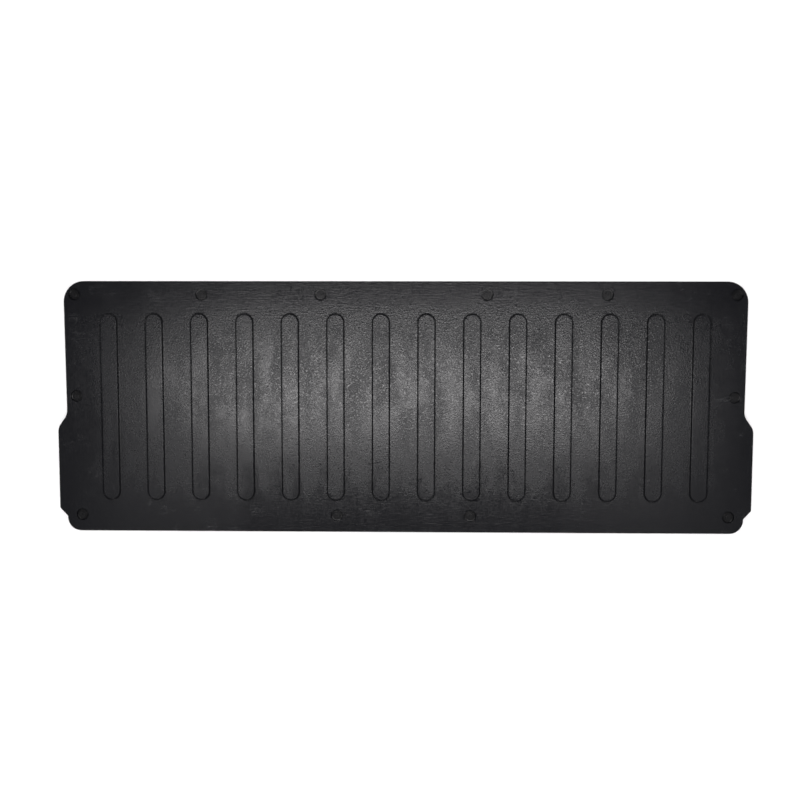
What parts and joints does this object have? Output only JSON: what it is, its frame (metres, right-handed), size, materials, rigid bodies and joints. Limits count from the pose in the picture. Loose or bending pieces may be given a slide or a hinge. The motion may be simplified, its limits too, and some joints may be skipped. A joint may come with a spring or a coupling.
{
  "type": "tailgate mat",
  "caption": "Moulded black rubber mat for the inner face of a pickup tailgate, with long raised ribs, side tabs, and recessed seats with washers and low-head screws round its edge.",
  "frame": {"origin": "centre of the mat's flat underside, the face that lies on the tailgate", "axes": "+X along the tailgate's width, +Y towards the mat's plain end edge away from the side tabs, +Z out of the ribbed face"},
  "size_m": [1.56, 0.564, 0.0188],
  "materials": {
    "moulded_rubber": "fine pebbled grain, satin",
    "black_zinc": "black zinc plate, satin",
    "black_phosphate": "black phosphate, matt"
  },
  "bodies": {
    "root": {"mat": "moulded_rubber", "washer_01": "black_zinc", "screw_01": "black_phosphate", "washer_02": "black_zinc", "screw_02": "black_phosphate", "washer_03": "black_zinc", "screw_03": "black_phosphate", "washer_04": "black_zinc", "screw_04": "black_phosphate", "washer_05": "black_zinc", "screw_05": "black_phosphate", "washer_06": "black_zinc", "screw_06": "black_phosphate", "washer_07": "black_zinc", "screw_07": "black_phosphate", "washer_08": "black_zinc", "screw_08": "black_phosphate", "washer_09": "black_zinc", "screw_09": "black_phosphate", "washer_10": "black_zinc", "screw_10": "black_phosphate", "washer_11": "black_zinc", "screw_11": "black_phosphate", "washer_12": "black_zinc", "screw_12": "black_phosphate"}
  },
  "joints": []
}
